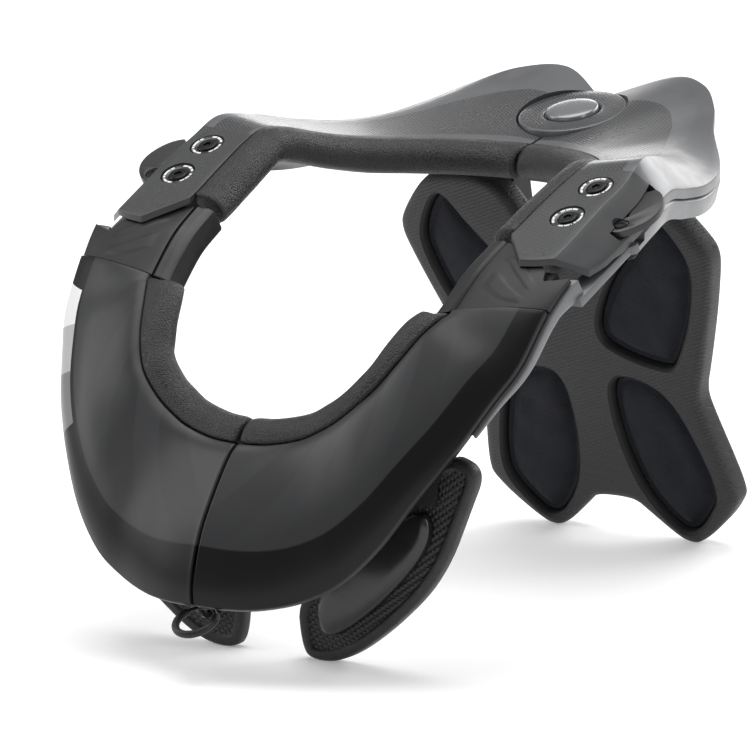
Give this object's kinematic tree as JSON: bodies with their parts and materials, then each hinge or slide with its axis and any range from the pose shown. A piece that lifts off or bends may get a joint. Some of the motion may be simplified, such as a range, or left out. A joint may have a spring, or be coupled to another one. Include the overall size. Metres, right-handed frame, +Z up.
{
  "type": "motocross neck brace",
  "caption": "Rigid neck brace with a hinged front bib, rear yoke plates, soft neck rolls, thumb levers, padded chest pads and a tilting back stabilizer.",
  "frame": {"origin": "bottom centre of the box round the whole brace, on the surface that it stands on", "axes": "+X to the wearer's left, +Y to the wearer's back, +Z up through the neck opening"},
  "size_m": [0.2624, 0.3218, 0.2029],
  "materials": {
    "shell": "satin, with faint diagonal print",
    "cover": "matte, with a tonal emboss",
    "frame": "matte",
    "beam": "satin light grey",
    "plate": "woven emboss with a satin sheen and smooth bevelled borders",
    "foam": "fine pebbled grain",
    "liner": "smooth",
    "board": "moulded foam skin with a fine dash emboss",
    "pad": "near-black cloth",
    "metal": "blackened",
    "button": "smooth with a soft shine",
    "ring": "black sleeve"
  },
  "bodies": {
    "rear_frame": {"rear_shell_left": "plate", "rear_shell_right": "plate", "lower_shell_left": "beam", "lower_shell_right": "beam", "rear_hub": "plate", "hub_button": "button", "rear_foam_left": "foam", "rear_foam_right": "foam", "pivot_pin_left": "metal", "pivot_pin_right": "metal", "washer_front_left": "metal", "washer_front_right": "metal", "screw_front_left": "metal", "screw_front_right": "metal", "washer_rear_left": "metal", "washer_rear_right": "metal", "screw_rear_left": "metal", "screw_rear_right": "metal", "back_mount_left": "frame", "back_mount_right": "frame"},
    "front_yoke": {"front_shell_left": "shell", "front_shell_right": "shell", "arm_cover_left": "cover", "arm_cover_right": "cover", "front_frame": "frame", "front_foam_left": "foam", "front_foam_right": "foam", "liner_left": "liner", "liner_right": "liner", "side_beam_left": "beam", "side_beam_right": "beam", "chest_pad_left": "foam", "chest_pad_right": "foam", "chest_cap_left": "liner", "chest_cap_right": "liner", "chest_hanger_left": "frame", "chest_hanger_right": "frame", "ring_eye": "metal", "pull_ring": "ring"},
    "lever_left": {"release_lever_left": "liner"},
    "lever_right": {"release_lever_right": "liner"},
    "back_stabilizer": {"stabilizer": "board", "back_pad_upper_left": "pad", "back_pad_upper_right": "pad", "back_pad_lower_left": "pad", "back_pad_lower_right": "pad", "back_arm_left": "frame", "back_arm_right": "frame"}
  },
  "joints": [
    {"name": "yoke_hinge", "type": "hinge", "parent": "rear_frame", "child": "front_yoke", "pos_m": [-0.12, -0.01658, 0.17266], "axis": [0, 0.4061, -0.9138], "range_deg": [0, 35]},
    {"name": "lever_left_hinge", "type": "hinge", "parent": "rear_frame", "child": "lever_left", "pos_m": [0.12, -0.01658, 0.17266], "axis": [0, 0.4061, -0.9138], "range_deg": [0, 40]},
    {"name": "lever_right_hinge", "type": "hinge", "parent": "rear_frame", "child": "lever_right", "pos_m": [-0.12, -0.01658, 0.17266], "axis": [0, -0.4061, 0.9138], "range_deg": [0, 40]},
    {"name": "stabilizer_hinge", "type": "hinge", "parent": "rear_frame", "child": "back_stabilizer", "pos_m": [0, 0.11533, 0.16656], "axis": [1, 0, 0], "range_deg": [-6, 8]}
  ]
}
